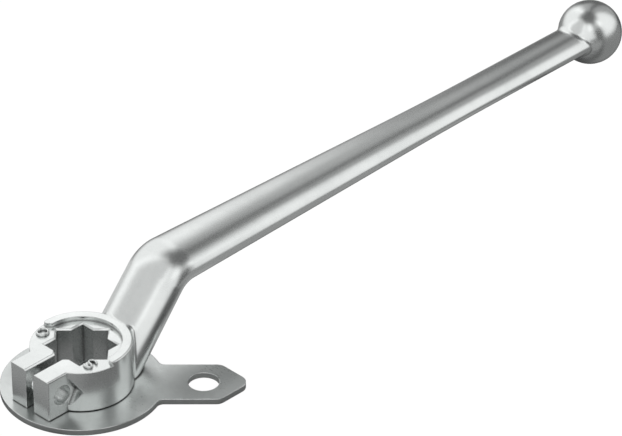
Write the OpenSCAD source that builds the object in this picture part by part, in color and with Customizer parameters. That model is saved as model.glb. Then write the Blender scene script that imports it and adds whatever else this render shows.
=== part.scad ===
// Hand lever of a quarter-turn valve: a cast lever that clamps on a square stem over a stamped locking plate.
// The stem's axis is Z, the underside of the plate is at Z = 0 and the arm points along +X.

/* [Stem socket] */
// Across flats of the square stem that the socket fits, two squares turned by 45 degrees
stem_af = 14; // [11:0.5:15]
// Chamfer round the top of the socket and of the clamp slot
socket_chamfer = 0.45; // [0.2:0.05:0.8]

/* [Hub] */
// Outer diameter of the hub
hub_d = 28.1; // [26:0.1:32]
// Height of the hub over the locking plate
hub_h = 12.6; // [11:0.1:16]
// Height of the half rim over the hub
rim_h = 1.3; // [0.6:0.1:2.5]
// Radial width of the half rim
rim_w = 2.8; // [2.2:0.1:3.4]
// Distance from the stem's axis to the slanted ends of the half rim
rim_end = 8; // [7.5:0.1:9]
// Rounding of the outer corners at the rim's two ends
rim_corner_r = 1; // [0.5:0.1:1.2]
// Rounding of the cast upper edges
edge_r = 0.5; // [0.2:0.05:0.8]
// Rounding of the cast edges on the plate
foot_r = 0.25; // [0.1:0.05:0.4]

/* [Clamp] */
// Distance from the stem's axis to the ends of the two lugs
lug_reach = 19; // [18:0.5:24]
// Width over both lugs
lug_w = 14.8; // [13:0.1:17]
// Rounding of the lugs' outer corners
lug_corner_r = 0.4; // [0.2:0.1:1]
// Width of the clamp slot
slot_w = 3; // [2:0.1:4]
// Diameter of the clamp screw's clearance hole
screw_d = 5.9; // [4.5:0.1:6.5]
// Distance from the stem's axis to the clamp screw's axis
screw_x = 14; // [13.6:0.1:15]
// Across flats of the hexagonal pocket for the clamp screw's nut
nut_af = 8.35; // [7.2:0.05:9]
// Diameter of the round relief for the clamp screw's head
head_d = 9.4; // [8:0.1:10]

/* [Arm] */
// Rise of the lower arm over the horizontal
arm_angle = 49.5; // [42:0.5:58]
// Distance from the stem's axis to the corner of the arm's centre line
bend_x = 30.3; // [28:0.1:36]
// Height of the grip's centre line over the hub's underside
grip_h = 24.2; // [22:0.1:32]
// Thickness of the oval arm at its root
root_t = 14; // [12:0.2:15]
// Width of the oval arm at its root
root_w = 18.6; // [17:0.2:20]
// Thickness of the oval arm at the bend
bend_t = 10.4; // [9:0.2:12]
// Width of the oval arm at the bend
bend_w = 19.2; // [16:0.2:20]
// Radius of the bend along the top of the arm
bend_top_r = 15; // [10:1:20]
// Radius of the bend along the underside of the arm
bend_under_r = 3; // [2:0.5:8]
// Radius of the fillet between the arm and the hub
root_fillet = 1.4; // [0.8:0.1:2]

/* [Grip] */
// Thickness of the oval grip at the ball
end_t = 6.6; // [6:0.1:9]
// Width of the oval grip at the ball
end_w = 13.1; // [9:0.1:13.5]
// Length from the bend over which the grip tapers evenly
taper_even = 92; // [70:1:100]
// Length from the bend to where the grip has its even end section
taper_end = 130; // [110:1:145]
// Distance from the stem's axis to the centre of the ball
ball_x = 204.8; // [190:0.1:230]
// Diameter of the ball
ball_d = 19; // [16:0.2:22]
// Radius of the fillet between the grip and the ball
neck_r = 2.5; // [1:0.1:3.2]

/* [Locking plate] */
// Thickness of the sheet
plate_t = 1.7; // [1.2:0.1:3]
// Diameter of the round part
plate_d = 45; // [42:0.5:50]
// Turn of the tab from the arm, about the stem
tab_angle = -45; // [-60:1:-35]
// Width of the tab
tab_w = 16.4; // [14:0.1:20]
// Length of the tab beyond the round part
tab_length = 21.9; // [20:0.1:28]
// Rounding of the tab's tip
tip_r = 3.4; // [2:0.1:5]
// Rounding of the tab's two shoulders
shoulder_r = 3; // [1:0.1:4]
// Radius in the corners between the tab and the round part
tab_blend_r = 2; // [1:0.1:4]
// Diameter of the padlock eye
eye_d = 8.6; // [6:0.1:9.4]
// Distance from the round part's edge to the middle of the padlock eye
eye_out = 10.4; // [9:0.1:11.5]

/* [Hidden] */
// Circle segments of the true curves
$fn = 96;
// Overlap that makes cutters run clear of the faces that they cut
clear = 1;
hub_r = hub_d / 2;
hub_top = plate_t + hub_h;
rim_top = hub_top + rim_h;
ball_r = ball_d / 2;
screw_z = plate_t + hub_h / 2;
tab_reach = plate_d / 2 + tab_length;
eye_x = plate_d / 2 + eye_out;

// Columns of points round the arm, their closeness on its narrow edges, and steps of its curved stretches
arm_columns = 56;
edge_spacing = 0.72;
fillet_steps = 5;
bend_steps = 12;
// Depth to which the arm reaches into the hub and the ball, and the tiny bite that closes a tangent seam
bite = 1.2;
seam = 0.02;

// Directions in the arm's plane of symmetry, given as [X, Z]
function along(angle) = [cos(angle), sin(angle)];
function across(angle) = [-sin(angle), cos(angle)];
function mix(a, b, share) = a + (b - a) * share;
function cross2(a, b) = a[0] * b[1] - a[1] * b[0];
function unit(v) = v / norm(v);

// Corner of the centre line, and length of the lower arm from there down to the hub's underside
corner = [bend_x, plate_t + grip_h];
lower_len = grip_h / sin(arm_angle);
lower_dir = along(arm_angle);
lower_up = across(arm_angle);

// Half thickness and half width of the lower arm, s millimetres along it from the corner (negative is down)
function lower_half_t(s) = mix(bend_t, root_t, -s / lower_len) / 2;
function lower_half_w(s) = mix(bend_w, root_w, -s / lower_len) / 2;
lower_slope_t = (bend_t - root_t) / 2 / lower_len;
lower_slope_w = (bend_w - root_w) / 2 / lower_len;

// Share of the bend's size that is left s millimetres along the grip: falling evenly, then easing out
taper_rate = 2 / (taper_even + taper_end);
ease_length = taper_end - taper_even;
function eased(share) = share - share * share / 2;
function bend_share(s) =
    s < taper_even ? 1 - taper_rate * s
    : s > taper_end ? 0
    : 1 - taper_rate * (taper_even + ease_length * eased((s - taper_even) / ease_length));
function grip_half_t(s) = mix(end_t, bend_t, bend_share(s)) / 2;
function grip_half_w(s) = mix(end_w, bend_w, bend_share(s)) / 2;
grip_slope_t = (end_t - bend_t) / 2 * taper_rate;

// Arc of radius r that rounds the meeting of two straight edges, as points [X, Z]
function meeting(p, u, q, v) = p + u * cross2(q - p, v) / cross2(u, v);
function edge_arc(p, from, q, to, r) =
    let (
        tip = meeting(p, along(from), q, along(to)),
        start = tip - along(from) * r * tan((from - to) / 2),
        middle = start - across(from) * r
    )
    [for (k = [0:bend_steps]) middle + across(mix(from, to, k / bend_steps)) * r];

lower_draft = atan(-lower_slope_t);
grip_draft = atan(-grip_slope_t);
top_arc = edge_arc(
    corner + lower_up * bend_t / 2, arm_angle - lower_draft,
    corner + [0, bend_t / 2], -grip_draft, bend_top_r
);
under_arc = edge_arc(
    corner - lower_up * bend_t / 2, arm_angle + lower_draft,
    corner - [0, bend_t / 2], grip_draft, bend_under_r
);

// Angle of a column in the oval's own measure, 0 at the top
function column_angle(j) =
    let (turn = 360 * j / arm_columns)
    atan2(sin(turn), edge_spacing * cos(turn));

// An oval ring of the arm, between its highest and lowest point in the plane of symmetry
function ring(top, under, half_w) =
    let (middle = (top + under) / 2, reach = (top - under) / 2)
    [for (j = [0:arm_columns - 1])
        [
            middle[0] + reach[0] * cos(column_angle(j)),
            half_w * sin(column_angle(j)),
            middle[1] + reach[1] * cos(column_angle(j))
        ]
    ];

// Rings of the bend
bend_from_w = lower_half_w((top_arc[0] + under_arc[0] - 2 * corner) * lower_dir / 2);
bend_end_s = (top_arc[bend_steps][0] + under_arc[bend_steps][0]) / 2 - bend_x;
bend_rings = [for (k = [0:bend_steps])
    ring(top_arc[k], under_arc[k], mix(bend_from_w, grip_half_w(bend_end_s), k / bend_steps))];

// Rings of the grip, with more of them where the taper eases out
grip_start = max(top_arc[bend_steps][0], under_arc[bend_steps][0]) - bend_x;
even_steps = 3;
ease_steps = 6;
grip_stations = concat(
    [for (k = [1:even_steps]) mix(grip_start, taper_even, k / even_steps)],
    [for (k = [1:ease_steps]) mix(taper_even, taper_end, k / ease_steps)]
);
grip_rings = [for (s = grip_stations)
    let (middle = corner + [s, 0], rise = [0, grip_half_t(s)])
    ring(middle + rise, middle - rise, grip_half_w(s))
];

// Arc of radius r round a middle, from one direction to another
function fillet_arc(middle, from, to, r) =
    let (spread = acos(from * to))
    [for (k = [0:fillet_steps])
        let (share = k / fillet_steps)
        middle + r * (from * sin(spread * (1 - share)) + to * sin(spread * share)) / sin(spread)
    ];

// Column of fillet points from the grip onto the ball and on into it
ball_middle = [ball_x, 0, corner[1]];
function neck_column(angle) =
    let (
        skin = [0, end_w / 2 * sin(angle), end_t / 2 * cos(angle)],
        grip_side = -unit([0, end_t * sin(angle), end_w * cos(angle)]),
        lift = skin - grip_side * neck_r,
        set_back = sqrt(pow(ball_r - seam + neck_r, 2) - lift * lift),
        middle = ball_middle + lift - [set_back, 0, 0],
        ball_side = unit(ball_middle - middle)
    )
    concat(fillet_arc(middle, grip_side, ball_side, neck_r), [middle + ball_side * (neck_r + bite)]);
neck_columns = [for (j = [0:arm_columns - 1]) neck_column(column_angle(j))];

// Distance from a point to the hub's outer skin, taken as a post with a rounded upper edge
function hub_reach(p) = [norm([p[0], p[1]]) - (hub_r - edge_r), p[2] - (rim_top - edge_r)];
function hub_distance(p) =
    let (q = hub_reach(p))
    min(max(q[0], q[1]), 0) + norm([max(q[0], 0), max(q[1], 0)]) - edge_r;

// Direction of the shortest way from the hub's outer skin to a point
function hub_normal(p) =
    let (
        q = hub_reach(p),
        n = q[0] > 0 && q[1] > 0 ? unit(q) : q[0] > q[1] ? [1, 0] : [0, 1],
        out = unit([p[0], p[1]])
    )
    [n[0] * out[0], n[0] * out[1], n[1]];

// Surface point and outward normal of the lower arm, in the column at the given angle
function lower_point(s, angle) =
    let (
        rise = lower_half_t(s) * cos(angle),
        base = corner + lower_dir * s + lower_up * rise
    )
    [base[0], lower_half_w(s) * sin(angle), base[1]];
function lower_normal(s, angle) =
    let (
        a = lower_half_t(s),
        b = lower_half_w(s),
        n = unit([
            b * cos(angle),
            a * sin(angle),
            -lower_slope_t * b * pow(cos(angle), 2) - lower_slope_w * a * pow(sin(angle), 2)
        ]),
        flat = lower_up * n[0] + lower_dir * n[2]
    )
    [flat[0], n[1], flat[1]];

// Centre of the ball that rolls in the corner between the arm and the hub, found by halving the search
function rolling_ball(s, angle) = lower_point(s, angle) + lower_normal(s, angle) * root_fillet;
function seat(angle, low, high, turns) =
    let (s = (low + high) / 2)
    turns == 0 ? s
    : hub_distance(rolling_ball(s, angle)) > root_fillet - seam ? seat(angle, low, s, turns - 1)
    : seat(angle, s, high, turns - 1);
function seat_station(angle) = seat(angle, -2 * lower_len, -bend_t / 4, 24);

// Column of fillet points from inside the hub out to the arm
function root_column(angle) =
    let (
        s = seat_station(angle),
        middle = rolling_ball(s, angle),
        hub_side = -hub_normal(middle)
    )
    concat(
        [middle + hub_side * (root_fillet + bite)],
        fillet_arc(middle, hub_side, -lower_normal(s, angle), root_fillet)
    );
root_columns = [for (j = [0:arm_columns - 1]) root_column(column_angle(j))];

// The arm as one skin over its rings, closed inside the hub and inside the ball
function as_rings(columns) = [for (k = [0:fillet_steps + 1]) [for (column = columns) column[k]]];
arm_rings = concat(as_rings(root_columns), bend_rings, grip_rings, as_rings(neck_columns));
root_middle = [hub_r - 1.5 * bite, 0, plate_t + hub_h / 2];
last_ring = len(arm_rings) - 1;
last_column = arm_columns - 1;
function index(i, j) = i * arm_columns + j % arm_columns;
arm_points = concat([for (r = arm_rings) each r], [root_middle, ball_middle]);
arm_faces = concat(
    [for (i = [0:last_ring - 1], j = [0:last_column]) [index(i, j), index(i + 1, j + 1), index(i + 1, j)]],
    [for (i = [0:last_ring - 1], j = [0:last_column]) [index(i, j), index(i, j + 1), index(i + 1, j + 1)]],
    [for (j = [0:last_column]) [index(0, j + 1), index(0, j), len(arm_points) - 2]],
    [for (j = [0:last_column]) [index(last_ring, j), index(last_ring, j + 1), len(arm_points) - 1]]
);

// Square from the origin outward, less the round of radius r about the origin, which leaves a corner's waste
module corner_waste(r) {
    difference() {
        square(r + clear);
        circle(r);
    }
}

// Half outline of the hub, from its axis to its rounded outer edge, up to the given height
module hub_outline(top) {
    difference() {
        translate([0, plate_t]) square([hub_r, top - plate_t]);
        translate([hub_r - edge_r, top - edge_r]) corner_waste(edge_r);
        translate([hub_r - foot_r, plate_t + foot_r]) mirror([0, 1]) corner_waste(foot_r);
    }
}

// Waste at one end of the half rim: all beyond the slanted end, and the corner outside its round
module rim_waste() {
    end_y = rim_end * sqrt(2);
    far = 2 * hub_r;
    inner_r = hub_r - rim_corner_r;
    inner_end = rim_end + rim_corner_r;
    middle_turn = 45 + acos(inner_end / inner_r);
    middle = inner_r * along(middle_turn);
    polygon([[0, 0], [0, end_y], [-far, end_y + far], [-far, 0]]);
    difference() {
        polygon([middle, middle - along(45) * rim_corner_r, [-far, end_y + far], middle * 2]);
        translate(middle) circle(rim_corner_r);
    }
}

// Raised half ring on the arm's side, with ends that slant away from the arm
module half_rim() {
    difference() {
        rotate_extrude() difference() {
            hub_outline(rim_top);
            square([hub_r - rim_w, rim_top + clear]);
        }
        translate([0, 0, hub_top]) linear_extrude(rim_h + clear)
            for (side = [0, 1]) mirror([0, side]) rim_waste();
    }
}

// Block of the two lugs, rounded along its upper, lower and outer corners
module lug_block() {
    end = lug_reach - lug_corner_r;
    intersection() {
        rotate([90, 0, -90]) linear_extrude(lug_reach) difference() {
            translate([-lug_w / 2, plate_t]) square([lug_w, hub_h]);
            for (side = [0, 1]) mirror([side, 0]) {
                translate([lug_w / 2 - edge_r, hub_top - edge_r]) corner_waste(edge_r);
                translate([lug_w / 2 - foot_r, plate_t + foot_r]) mirror([0, 1]) corner_waste(foot_r);
            }
        }
        translate([0, 0, plate_t]) linear_extrude(hub_h) difference() {
            translate([-lug_reach, -lug_w / 2]) square([lug_reach, lug_w]);
            for (side = [0, 1]) mirror([0, side])
                translate([-end, lug_w / 2 - lug_corner_r]) mirror([1, 0]) corner_waste(lug_corner_r);
        }
    }
}

// Two squares turned by 45 degrees, which take the stem in eight positions
module socket_outline() {
    for (turn = [0, 45]) rotate(turn) square(stem_af, center = true);
}

// Bar along X with a flared top, which opens the socket's and the slot's upper edges
module flared_bar(half_w, length) {
    rotate([90, 0, 90]) linear_extrude(length, center = true) polygon([
        [-half_w, hub_top - socket_chamfer],
        [half_w, hub_top - socket_chamfer],
        [half_w + socket_chamfer + clear, hub_top + clear],
        [-half_w - socket_chamfer - clear, hub_top + clear]
    ]);
}

module socket_flare() {
    length = 2 * stem_af;
    for (turn = [0, 45]) rotate(turn) intersection() {
        flared_bar(stem_af / 2, length);
        rotate(90) flared_bar(stem_af / 2, length);
    }
}

// Slot that splits the hub between the lugs and opens into the socket
module clamp_slot() {
    reach = lug_reach + clear;
    translate([-reach, -slot_w / 2, plate_t - clear]) cube([reach, slot_w, hub_h + 2 * clear]);
    translate([-reach / 2, 0, 0]) flared_bar(slot_w / 2, reach);
}

// Clearance hole for the clamp screw across both lugs, and the seats of its nut and head in the hub's sides
module screw_cuts() {
    translate([-screw_x, 0, screw_z]) rotate([90, 0, 0]) {
        cylinder(d = screw_d, h = lug_w + 2 * clear, center = true);
        translate([0, 0, lug_w / 2]) cylinder(d = nut_af / cos(30), h = hub_r, $fn = 6);
        translate([0, 0, -lug_w / 2 - hub_r]) cylinder(d = head_d, h = hub_r);
    }
}

module hub() {
    difference() {
        union() {
            rotate_extrude() hub_outline(hub_top);
            half_rim();
            lug_block();
        }
        translate([0, 0, plate_t - clear]) linear_extrude(hub_h + rim_h + 2 * clear) socket_outline();
        socket_flare();
        clamp_slot();
        screw_cuts();
    }
}

// Kite between a corner and the two places where a round of radius r touches its sides, less that round
module corner_kite(tip, a, middle, b, r) {
    difference() {
        polygon([tip, a, middle, b]);
        translate(middle) circle(r);
    }
}

// Concave round of radius r on the upper side of a bar along +X, where the bar runs into a disc
module bar_blend(half_w, disc_r, r) {
    middle = [sqrt(pow(disc_r + r, 2) - pow(half_w + r, 2)), half_w + r];
    corner_kite(
        [sqrt(pow(disc_r, 2) - pow(half_w, 2)), half_w],
        [middle[0], half_w],
        middle,
        middle * disc_r / (disc_r + r),
        r
    );
}

// Swept arm with its ball, cut level with the hub's underside
module arm() {
    low = 2 * lower_len;
    difference() {
        polyhedron(points = arm_points, faces = arm_faces);
        translate([0, -root_w, plate_t - low]) cube([2 * bend_x, 2 * root_w, low]);
    }
    translate(ball_middle) sphere(ball_r);
}

module hand_lever() {
    color("silver") {
        hub();
        arm();
    }
}

// Tab along +X: straight sides, two 45 degree flanks and a rounded tip
module tab_outline() {
    half = tab_w / 2;
    point_x = tab_reach + tip_r * (sqrt(2) - 1);
    shoulder_x = point_x - half;
    set_back = shoulder_r * tan(22.5);
    difference() {
        polygon([[0, -half], [shoulder_x, -half], [point_x, 0], [shoulder_x, half], [0, half]]);
        corner_kite(
            [point_x, 0],
            [point_x - tip_r / sqrt(2), tip_r / sqrt(2)],
            [point_x - tip_r * sqrt(2), 0],
            [point_x - tip_r / sqrt(2), -tip_r / sqrt(2)],
            tip_r
        );
        for (side = [0, 1]) mirror([0, side]) corner_kite(
            [shoulder_x, half],
            [shoulder_x - set_back, half],
            [shoulder_x - set_back, half - shoulder_r],
            [shoulder_x + set_back / sqrt(2), half - set_back / sqrt(2)],
            shoulder_r
        );
    }
}

module locking_plate() {
    color("gainsboro") linear_extrude(plate_t) difference() {
        union() {
            circle(d = plate_d);
            rotate(tab_angle) {
                tab_outline();
                for (side = [0, 1]) mirror([0, side]) bar_blend(tab_w / 2, plate_d / 2, tab_blend_r);
            }
        }
        socket_outline();
        rotate(tab_angle) translate([eye_x, 0]) circle(d = eye_d);
    }
}

hand_lever();
locking_plate();
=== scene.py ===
import bpy
import math
from mathutils import Matrix, Vector


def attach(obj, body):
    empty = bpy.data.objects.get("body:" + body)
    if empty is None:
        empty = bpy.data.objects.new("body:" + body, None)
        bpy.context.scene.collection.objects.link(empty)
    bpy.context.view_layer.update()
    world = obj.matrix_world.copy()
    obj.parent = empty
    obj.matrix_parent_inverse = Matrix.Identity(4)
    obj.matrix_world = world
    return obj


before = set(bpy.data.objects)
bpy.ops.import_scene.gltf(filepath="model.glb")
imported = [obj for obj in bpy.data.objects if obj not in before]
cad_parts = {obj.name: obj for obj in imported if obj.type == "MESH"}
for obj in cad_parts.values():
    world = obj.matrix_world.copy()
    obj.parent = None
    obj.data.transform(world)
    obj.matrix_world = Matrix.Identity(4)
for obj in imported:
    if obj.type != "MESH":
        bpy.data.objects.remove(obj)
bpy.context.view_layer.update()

MM = 0.001
scene = bpy.context.scene


# Camera: the photograph's long lens, from beside the hub and 33 degrees above the horizon
CAMERA_AZIMUTH = 224.88
CAMERA_ELEVATION = 33.12
CAMERA_PLACE = Vector((-668.02, -752.83, 710.23)) * MM
SENSOR_WIDTH = 36
FOCAL_LENGTH = 261.7
CLIP_START = 0.05
CLIP_END = 20


def direction(azimuth, elevation):
    """Unit vector at an azimuth, in degrees from +X towards +Y, and an elevation in degrees."""
    turn = math.radians(azimuth)
    rise = math.radians(elevation)
    return Vector((math.cos(turn) * math.cos(rise), math.sin(turn) * math.cos(rise), math.sin(rise)))


def aim_camera():
    back = direction(CAMERA_AZIMUTH, CAMERA_ELEVATION)
    right = Vector((-back.y, back.x, 0)).normalized()
    optics = bpy.data.cameras.new("camera")
    optics.sensor_fit = "HORIZONTAL"
    optics.sensor_width = SENSOR_WIDTH
    optics.lens = FOCAL_LENGTH
    optics.clip_start = CLIP_START
    optics.clip_end = CLIP_END
    camera = bpy.data.objects.new("camera", optics)
    scene.collection.objects.link(camera)
    turn = Matrix((right, back.cross(right), back)).transposed().to_4x4()
    camera.matrix_world = Matrix.Translation(CAMERA_PLACE) @ turn
    scene.camera = camera


# Helpers for shader trees: a value is a plain number, a plain vector or colour, or a node's output
def new_material(name):
    material = bpy.data.materials.new(name)
    material.use_nodes = True
    return material, material.node_tree


def feed(tree, value, socket):
    """Link a node's output to the socket, or set the socket to a plain value."""
    if isinstance(value, bpy.types.NodeSocket):
        tree.links.new(value, socket)
    else:
        socket.default_value = value


def math_node(tree, operation, *values):
    node = tree.nodes.new("ShaderNodeMath")
    node.operation = operation
    for value, socket in zip(values, node.inputs):
        feed(tree, value, socket)
    return node.outputs["Value"]


def vector_node(tree, operation, *values):
    """The node of a vector operation; the caller picks its output, Value or Vector."""
    node = tree.nodes.new("ShaderNodeVectorMath")
    node.operation = operation
    for value, socket in zip(values, node.inputs):
        feed(tree, value, socket)
    return node


def smooth_range(tree, value, low, high, to_low=0, to_high=1):
    """The value carried over from low and high to to_low and to_high, eased at both ends."""
    node = tree.nodes.new("ShaderNodeMapRange")
    node.interpolation_type = "SMOOTHERSTEP"
    feed(tree, value, node.inputs["Value"])
    node.inputs["From Min"].default_value = low
    node.inputs["From Max"].default_value = high
    node.inputs["To Min"].default_value = to_low
    node.inputs["To Max"].default_value = to_high
    return node.outputs["Result"]


def mix_colours(tree, share, first, second):
    """The first colour at share 0, the second at share 1."""
    node = tree.nodes.new("ShaderNodeMix")
    node.data_type = "RGBA"
    feed(tree, share, node.inputs["Factor"])
    # This node has several sockets of each name, so those for colours are taken by their number
    feed(tree, first, node.inputs[6])
    feed(tree, second, node.inputs[7])
    return node.outputs[2]


def noise(tree, place, scale, detail, roughness=0.6, stretch=None):
    """Noise with so many cells a metre; a stretch under 1 draws the pattern out along that axis."""
    if stretch:
        mapping = tree.nodes.new("ShaderNodeMapping")
        mapping.inputs["Scale"].default_value = stretch
        feed(tree, place, mapping.inputs["Vector"])
        place = mapping.outputs["Vector"]
    node = tree.nodes.new("ShaderNodeTexNoise")
    feed(tree, place, node.inputs["Vector"])
    node.inputs["Scale"].default_value = scale
    node.inputs["Detail"].default_value = detail
    node.inputs["Roughness"].default_value = roughness
    return node.outputs["Fac"]


def open_room(tree, distance, own_piece_only):
    """Share of the directions from a point that meet no piece, or not its own, within the distance."""
    node = tree.nodes.new("ShaderNodeAmbientOcclusion")
    node.samples = ROOM_SAMPLES
    node.only_local = own_piece_only
    node.inputs["Distance"].default_value = distance
    return node.outputs["AO"]


# Steel: cells of noise a metre, distances in metres, linear colours
BLOTCH_SCALE = 45
BLOTCH_DETAIL = 4
MOTTLE_SCALE = 420
MOTTLE_DETAIL = 3
GRAIN_SCALE = 4200
GRAIN_DETAIL = 2
GRAIN_ROUGHNESS = 0.7
BRUSHED_STRETCH = (1, 0.12, 1)
GRAIN_DEPTH = 0.000003
MOTTLE_DEPTH_SHARE = 0.5
MOTTLE_TONE_SHARE = 0.35
EDGE_SAMPLES = 6
ROOM_SAMPLES = 8
CREVICE_REACH = 0.0011
SLOT_REACH = 0.005
# Lighter colour of the worn edges: partly wear, partly a painted highlight
POLISHED_HIGHLIGHT = (0.850, 0.868, 0.861, 1)
# Colour of the painted shade in crevices and in the clamp's slot
PAINTED_SHADE = (0.10, 0.10, 0.098, 1)
# What each pattern does: its own low and high, then what it turns them into
WEAR_AND_HIGHLIGHT_BY_LEAN = (0.99, 0.86, 0, 1)
WEAR_AND_HIGHLIGHT_BY_MOTTLE = (0.3, 0.6, 0.35, 1)
TONE_BY_BLOTCH = (0.3, 0.7, 0, 1)
TONE_BY_MOTTLE = (0.3, 0.7, -0.5, 0.5)
# Painted shade by the open room near a point: in crevices and in the clamp's slot
UNSHADED_BY_CREVICE = (0.40, 0.82, 0.12, 1)
UNSHADED_BY_SLOT = (0.22, 0.75, 0.15, 1)
ROUGHNESS_BY_GRAIN = (0.25, 0.75, -0.04, 0.06)
ROUGHNESS_BY_BLOTCH = (0.3, 0.7, 1.08, 0.94)
ROUGHNESS_BY_WEAR = (0, 1, 1, 0.8)


def steel(name, dull, bright, edge_radius, roughness, brushed=False):
    """Blasted stainless steel: mottled tone, uneven sheen, fine grain, worn edges with a painted
    highlight, painted shade in crevices.
    """
    material, tree = new_material(name)
    shader = tree.nodes["Principled BSDF"]
    shader.inputs["Metallic"].default_value = 1
    place = tree.nodes.new("ShaderNodeTexCoord").outputs["Object"]
    blotches = noise(tree, place, BLOTCH_SCALE, BLOTCH_DETAIL)
    mottle = noise(tree, place, MOTTLE_SCALE, MOTTLE_DETAIL)
    stretch = BRUSHED_STRETCH if brushed else None
    grain = noise(tree, place, GRAIN_SCALE, GRAIN_DETAIL, GRAIN_ROUGHNESS, stretch)

    # Wear along the edges, with a painted highlight, where the rounded-off normal leans away from the
    # surface's own
    rounded = tree.nodes.new("ShaderNodeBevel")
    rounded.samples = EDGE_SAMPLES
    rounded.inputs["Radius"].default_value = edge_radius
    own_normal = tree.nodes.new("ShaderNodeNewGeometry").outputs["Normal"]
    lean = vector_node(tree, "DOT_PRODUCT", rounded.outputs["Normal"], own_normal).outputs["Value"]
    wear_and_highlight = smooth_range(tree, lean, *WEAR_AND_HIGHLIGHT_BY_LEAN)
    wear_and_highlight = math_node(tree, "MULTIPLY", wear_and_highlight, smooth_range(tree, mottle, *WEAR_AND_HIGHLIGHT_BY_MOTTLE))

    # Colour of the blotches and the mottle, then the lighter colour of the worn edges, a painted
    # highlight
    tone = smooth_range(tree, blotches, *TONE_BY_BLOTCH)
    fine_tone = smooth_range(tree, mottle, *TONE_BY_MOTTLE)
    tone = math_node(tree, "MULTIPLY_ADD", fine_tone, MOTTLE_TONE_SHARE, tone)
    colour = mix_colours(tree, tone, dull, bright)
    colour = mix_colours(tree, wear_and_highlight, colour, POLISHED_HIGHLIGHT)

    # Painted shade in the crevices and in the clamp's slot, where the surface sees little open room near
    # it
    unshaded = smooth_range(tree, open_room(tree, CREVICE_REACH, False), *UNSHADED_BY_CREVICE)
    unshaded_in_slot = smooth_range(tree, open_room(tree, SLOT_REACH, True), *UNSHADED_BY_SLOT)
    unshaded = math_node(tree, "MINIMUM", unshaded, unshaded_in_slot)
    feed(tree, mix_colours(tree, unshaded, PAINTED_SHADE, colour), shader.inputs["Base Color"])

    # Roughness that varies with the grain and the blotches, and is lower on the worn edges
    low, high, less, more = ROUGHNESS_BY_GRAIN
    sheen = smooth_range(tree, grain, low, high, roughness + less, roughness + more)
    sheen = math_node(tree, "MULTIPLY", sheen, smooth_range(tree, blotches, *ROUGHNESS_BY_BLOTCH))
    sheen = math_node(tree, "MULTIPLY", sheen, smooth_range(tree, wear_and_highlight, *ROUGHNESS_BY_WEAR))
    feed(tree, sheen, shader.inputs["Roughness"])

    # Fine relief on the rounded-off normal
    bump = tree.nodes.new("ShaderNodeBump")
    bump.inputs["Strength"].default_value = 1
    bump.inputs["Distance"].default_value = GRAIN_DEPTH
    relief = math_node(tree, "MULTIPLY_ADD", mottle, MOTTLE_DEPTH_SHARE, grain)
    feed(tree, relief, bump.inputs["Height"])
    feed(tree, rounded.outputs["Normal"], bump.inputs["Normal"])
    feed(tree, bump.outputs["Normal"], shader.inputs["Normal"])
    return material


# The two solids of the CAD model
WELD_DISTANCE = 0.000002
PLATE_ROUNDING = 0.0003
ROUNDING_SEGMENTS = 3
ROUNDED_ANGLE = math.radians(48)
SHARP_ANGLE = math.radians(32)


def dress(node, material, rounding=0):
    """Give a solid its material, smooth shading across gentle angles and, if asked, rounded edges."""
    node.data.materials.clear()
    node.data.materials.append(material)
    for polygon in node.data.polygons:
        polygon.material_index = 0
        polygon.use_smooth = True
    weld = node.modifiers.new("weld", "WELD")
    weld.merge_threshold = WELD_DISTANCE
    if rounding:
        round_edges = node.modifiers.new("round_edges", "BEVEL")
        round_edges.width = rounding
        round_edges.segments = ROUNDING_SEGMENTS
        round_edges.limit_method = "ANGLE"
        round_edges.angle_limit = ROUNDED_ANGLE
    split = node.modifiers.new("split", "EDGE_SPLIT")
    split.split_angle = SHARP_ANGLE
    node.modifiers.new("weighted", "WEIGHTED_NORMAL").keep_sharp = True


# The two marks cast on the hub's top, O for open and S for shut: raised strokes with upright sides
# and a rounded top, their feet sunk into the hub. They stand upright when the arm points up.
HUB_TOP = 14.3 * MM
MARK_TURN = math.radians(-90)
STROKE = 0.6 * MM
STROKE_RESOLUTION = 4
MARK_RISE = 0.8 * MM
MARK_HEIGHT = 1.2 * MM


def arc(centre, radius_x, radius_y, start, end, steps):
    """Points along an oval's arc, from the start angle to the end angle in degrees."""
    angles = [math.radians(start + (end - start) * k / steps) for k in range(steps + 1)]
    return [(centre[0] + radius_x * math.cos(a), centre[1] + radius_y * math.sin(a)) for a in angles]


def add_mark(name, material, middle, points, closed):
    """A raised stroke through the points, given in millimetres from the mark's middle."""
    curve = bpy.data.curves.new(name, "CURVE")
    curve.dimensions = "3D"
    curve.fill_mode = "FULL"
    curve.bevel_depth = STROKE / 2
    curve.extrude = (MARK_HEIGHT - STROKE) / 2
    curve.bevel_resolution = STROKE_RESOLUTION
    curve.use_fill_caps = True
    spline = curve.splines.new("POLY")
    spline.points.add(len(points) - 1)
    for point, (x, y) in zip(spline.points, points):
        point.co = (x * MM, y * MM, 0, 1)
    spline.use_cyclic_u = closed
    mark = bpy.data.objects.new(name, curve)
    scene.collection.objects.link(mark)
    mark.rotation_euler.z = MARK_TURN
    mark.location = (middle[0] * MM, middle[1] * MM, HUB_TOP + MARK_RISE - MARK_HEIGHT / 2)
    curve.materials.append(material)
    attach(mark, "root")


def add_marks(material):
    """The letters' arcs, in millimetres and degrees; the O goes all the way round."""
    letter_o = arc((0, 0), 1.4, 1.6, 0, 350, 35)
    upper_s = arc((0, 0.86), 1.16, 0.86, 25, 270, 16)
    lower_s = arc((0, -0.86), 1.16, 0.86, 90, -155, 16)
    add_mark("mark_open", material, (-4.0, 11.05), letter_o, True)
    add_mark("mark_shut", material, (-5.1, -9.15), upper_s + lower_s[1:], False)


# The studio: a floor that shows white, and a light tent with soft boxes as brighter patches of its inside
TENT_RADIUS = 0.4
TENT_MIDDLE = (0.09, 0, 0)
TENT_SUBDIVISIONS = 5
TENT_BASE = 0.15
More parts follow.
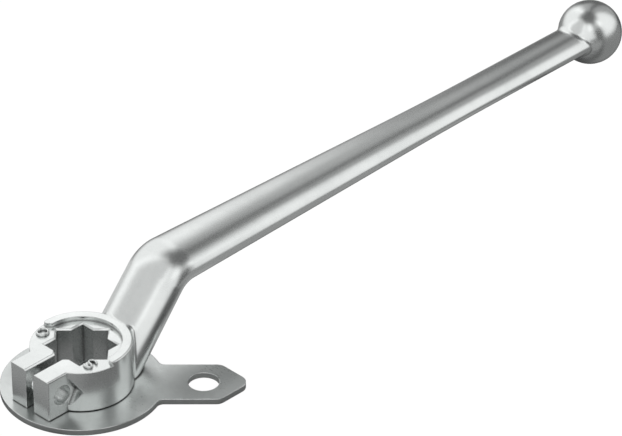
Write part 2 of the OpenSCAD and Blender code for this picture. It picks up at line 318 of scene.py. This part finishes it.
# Soft boxes: middle azimuth, half width, lower and upper elevation, softness, strength
SOFT_BOXES = [
    (87, 33, 2, 68, 16, 0.94),
    (157, 40, 0, 86, 14, 0.57),
    (224, 30, 6, 75, 12, 0.85),
    (322, 28, 5, 62, 12, 0.92),
    (268, 42, 42, 66, 10, 0.34),
    (2, 8, 0, 60, 10, 0.26),
    (45, 16, 24, 62, 11, 0.32),
]
FLOOR_Z = -0.0002
FLOOR_SIZE = 8
FLOOR_COLOUR = (0.1, 0.1, 0.1, 1)
FLOOR_SEEN = 0.955
# Faint glow of the floor for glossy and transmission rays outside the pools, part of the painted
# reflections
REFLECTION_GLOW_BASE = 0.02
# Painted reflections: glow that the floor shows only to glossy and transmission rays, in oblong pools:
# x from, x to, y from, y to, softness, strength
FLOOR_PAINTED_REFLECTIONS = [
    (0.053, 0.193, -0.400, -0.002, 0.008, 0.27),
    (0.202, 0.400, -0.400, -0.002, 0.010, 0.18),
    (-0.024, 0.020, -0.400, -0.014, 0.006, 0.11),
    (0.027, 0.053, -0.022, 0.002, 0.007, 0.22),
    (0.020, 0.060, -0.037, -0.002, 0.006, 0.10),
    (-0.400, -0.024, -0.400, 0.400, 0.010, 0.25),
    (-0.010, 0.058, 0.028, 0.400, 0.012, 0.60),
    (0.150, 0.400, 0.055, 0.400, 0.020, 0.20),
    (0.055, 0.150, 0.090, 0.400, 0.030, 0.15),
    (-0.010, 0.010, -0.010, 0.010, 0.003, 0.15),
]


def sine(degrees):
    return math.sin(math.radians(degrees))


def cosine(degrees):
    return math.cos(math.radians(degrees))


def soft_box(tree, heading, height, azimuth, half_width, low, high, soft, strength):
    """Brightness of a soft box at a level heading and a height, given as the sine of the elevation."""
    nearness = vector_node(tree, "DOT_PRODUCT", heading, direction(azimuth, 0)).outputs["Value"]
    outer = cosine(half_width + soft)
    inner = cosine(max(half_width - soft, 0))
    side = smooth_range(tree, nearness, outer, inner, 0, strength)
    bottom = smooth_range(tree, height, sine(low - soft), sine(low + soft))
    top = smooth_range(tree, height, sine(high - soft), sine(high + soft), 1, 0)
    return math_node(tree, "MULTIPLY", side, math_node(tree, "MULTIPLY", bottom, top))


def add_tent():
    bpy.ops.mesh.primitive_ico_sphere_add(
        subdivisions=TENT_SUBDIVISIONS, radius=TENT_RADIUS, location=TENT_MIDDLE
    )
    tent = bpy.context.object
    tent.name = "tent"
    tent.visible_camera = False
    tent.visible_shadow = False
    material, tree = new_material("tent")
    material.cycles.emission_sampling = "NONE"
    tree.nodes.remove(tree.nodes["Principled BSDF"])
    place = tree.nodes.new("ShaderNodeTexCoord").outputs["Object"]
    axes = tree.nodes.new("ShaderNodeSeparateXYZ")
    feed(tree, place, axes.inputs["Vector"])
    level = vector_node(tree, "MULTIPLY", place, (1, 1, 0)).outputs["Vector"]
    heading = vector_node(tree, "NORMALIZE", level).outputs["Vector"]
    height = math_node(tree, "DIVIDE", axes.outputs["Z"], TENT_RADIUS)
    total = TENT_BASE
    for box in SOFT_BOXES:
        total = math_node(tree, "ADD", soft_box(tree, heading, height, *box), total)
    glow = tree.nodes.new("ShaderNodeEmission")
    feed(tree, total, glow.inputs["Strength"])
    feed(tree, glow.outputs["Emission"], tree.nodes["Material Output"].inputs["Surface"])
    tent.data.materials.append(material)


def strip(tree, value, low, high, soft, strength=1):
    """Brightness across a strip from low to high, faded over its two sides."""
    start = smooth_range(tree, value, low - soft, low + soft, 0, strength)
    end = smooth_range(tree, value, high - soft, high + soft, 1, 0)
    return math_node(tree, "MULTIPLY", start, end)


def painted_reflection_pool(tree, x, y, x_from, x_to, y_from, y_to, soft, strength):
    """Glow of one oblong pool of painted reflection at the floor's x and y."""
    along = strip(tree, x, x_from, x_to, soft, strength)
    across = strip(tree, y, y_from, y_to, soft)
    return math_node(tree, "MULTIPLY", along, across)


def add_floor():
    """White where the camera sees it, pools of painted reflection that only glossy and transmission rays
    see, and a soft shadow.
    """
    bpy.ops.mesh.primitive_plane_add(size=FLOOR_SIZE, location=(0, 0, FLOOR_Z))
    plane = bpy.context.object
    plane.name = "floor"
    material, tree = new_material("floor")
    material.cycles.emission_sampling = "NONE"
    tree.nodes.remove(tree.nodes["Principled BSDF"])
    paper = tree.nodes.new("ShaderNodeBsdfDiffuse")
    paper.inputs["Color"].default_value = FLOOR_COLOUR
    ray = tree.nodes.new("ShaderNodeLightPath").outputs
    place = tree.nodes.new("ShaderNodeTexCoord").outputs["Object"]
    axes = tree.nodes.new("ShaderNodeSeparateXYZ")
    feed(tree, place, axes.inputs["Vector"])
    pools = REFLECTION_GLOW_BASE
    for pool in FLOOR_PAINTED_REFLECTIONS:
        patch = painted_reflection_pool(tree, axes.outputs["X"], axes.outputs["Y"], *pool)
        pools = math_node(tree, "ADD", patch, pools)
    seen = math_node(tree, "MULTIPLY", ray["Is Camera Ray"], FLOOR_SEEN)
    # Only glossy and transmission rays see the pools' glow: painted reflections on the metal
    reflection_glow = math_node(tree, "MAXIMUM", ray["Is Glossy Ray"], ray["Is Transmission Ray"])
    reflection_glow = math_node(tree, "MULTIPLY", reflection_glow, pools)
    glow = tree.nodes.new("ShaderNodeEmission")
    feed(tree, math_node(tree, "ADD", seen, reflection_glow), glow.inputs["Strength"])
    both = tree.nodes.new("ShaderNodeAddShader")
    feed(tree, paper.outputs["BSDF"], both.inputs[0])
    feed(tree, glow.outputs["Emission"], both.inputs[1])
    feed(tree, both.outputs["Shader"], tree.nodes["Material Output"].inputs["Surface"])
    plane.data.materials.append(material)


def add_world():
    world = bpy.data.worlds.new("studio")
    scene.world = world
    world.use_nodes = True
    background = world.node_tree.nodes["Background"]
    background.inputs["Color"].default_value = (1, 1, 1, 1)
    background.inputs["Strength"].default_value = 1


aim_camera()
cast = steel(
    "cast_steel", dull=(0.711, 0.732, 0.725, 1), bright=(0.769, 0.790, 0.782, 1),
    edge_radius=0.00035, roughness=0.22
)
sheet = steel(
    "sheet_steel", dull=(0.564, 0.585, 0.578, 1), bright=(0.644, 0.668, 0.660, 1),
    edge_radius=0.0004, roughness=0.32, brushed=True
)
dress(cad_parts["hand_lever"], cast)
dress(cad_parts["locking_plate"], sheet, PLATE_ROUNDING)
add_marks(cast)
add_tent()
add_floor()
add_world()
scene.view_settings.view_transform = "Standard"
